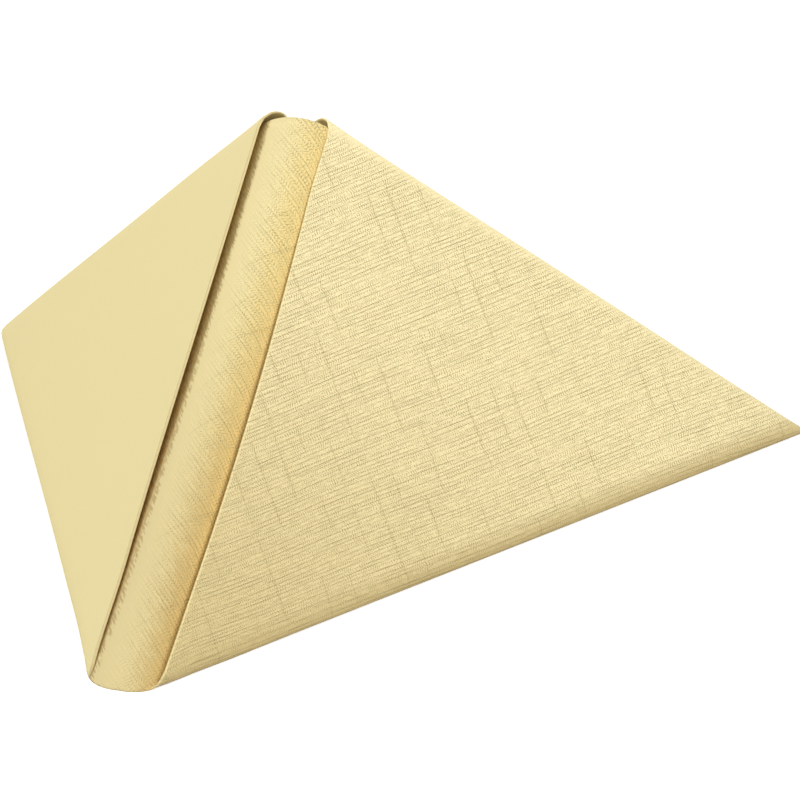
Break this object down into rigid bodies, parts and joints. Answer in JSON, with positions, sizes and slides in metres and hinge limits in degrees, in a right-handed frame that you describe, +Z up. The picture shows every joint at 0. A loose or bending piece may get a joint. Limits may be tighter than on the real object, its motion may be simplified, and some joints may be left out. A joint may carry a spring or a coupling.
{
  "type": "folded paper napkin",
  "caption": "Pale yellow paper napkin with a linen emboss, folded into a free-standing tent with two wings and a raised ridge.",
  "frame": {"origin": "middle of the underside: the centre of the bounding box's bottom face, on the surface that the napkin stands on", "axes": "+Z up; the plane x = 0 is the plane of symmetry through the ridge; the low front tip points to -Y and the wings open towards +Y"},
  "size_m": [0.1826, 0.1804, 0.0877],
  "materials": {
    "napkin_paper": "matte"
  },
  "bodies": {
    "root": {"napkin": "napkin_paper"}
  },
  "joints": []
}
